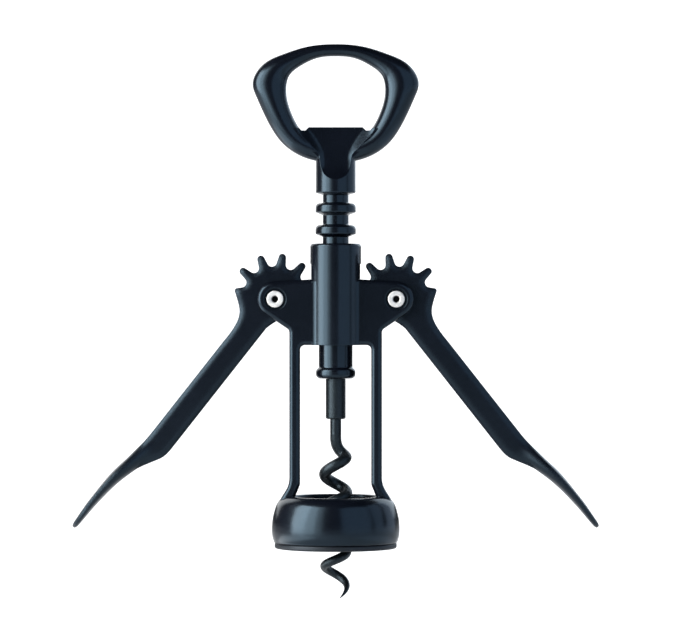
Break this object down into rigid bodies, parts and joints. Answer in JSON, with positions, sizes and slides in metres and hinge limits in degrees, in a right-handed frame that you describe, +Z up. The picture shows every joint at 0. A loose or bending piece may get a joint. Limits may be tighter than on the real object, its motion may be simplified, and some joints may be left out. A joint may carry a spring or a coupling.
{
  "type": "wing corkscrew",
  "caption": "Wing corkscrew with a bell frame, toothed lever arms with thumb paddles, a ringed spindle with a wire worm, and a bottle-opener loop on top.",
  "frame": {"origin": "on the spindle's axis, in the plane of the bottle collar's bottom rim, which rests on the bottle or its shoulder", "axes": "+Z up along the spindle to the opener handle, +X to the right lever, -Y to the front, where the hollow ends of the rivets are"},
  "size_m": [0.172, 0.0418, 0.1808],
  "materials": {
    "dark_enamel": "satin blue-black enamel on a zinc casting",
    "spindle_enamel": "satin blue-black enamel on turned steel",
    "worm_coating": "rough dark grey-green coating on steel wire",
    "collar_plastic": "black moulded plastic",
    "nickel": "bright nickel plate",
    "pin_steel": "plain steel"
  },
  "bodies": {
    "frame": {"frame": "dark_enamel", "bottle_collar": "collar_plastic", "left_pivot_rivet": "nickel", "right_pivot_rivet": "nickel"},
    "guide": {"guide_bush": "spindle_enamel"},
    "spindle": {"handle": "dark_enamel", "rack": "spindle_enamel", "handle_pin": "pin_steel", "worm_ferrule": "worm_coating", "worm": "worm_coating"},
    "left_lever": {"left_lever": "dark_enamel"},
    "right_lever": {"right_lever": "dark_enamel"}
  },
  "joints": [
    {"name": "guide_slide", "type": "slide", "parent": "frame", "child": "guide", "axis": [0, 0, -1], "range_m": [-0.0087, 0.0261]},
    {"name": "spindle_turn", "type": "hinge", "parent": "guide", "child": "spindle", "pos_m": [0, 0, 0.06], "axis": [0, 0, 1], "continuous": true},
    {"name": "left_pivot", "type": "hinge", "parent": "frame", "child": "left_lever", "pos_m": [-0.01976, 0, 0.0813], "axis": [0, 1, 0], "range_deg": [-36.1, 108]},
    {"name": "right_pivot", "type": "hinge", "parent": "frame", "child": "right_lever", "pos_m": [0.01976, 0, 0.0813], "axis": [0, -1, 0], "range_deg": [-36.1, 108]}
  ],
  "couplings": [
    {"joint": "left_pivot", "follows": "guide_slide", "rad_per_m": 72.068},
    {"joint": "right_pivot", "follows": "guide_slide", "rad_per_m": 72.068}
  ]
}
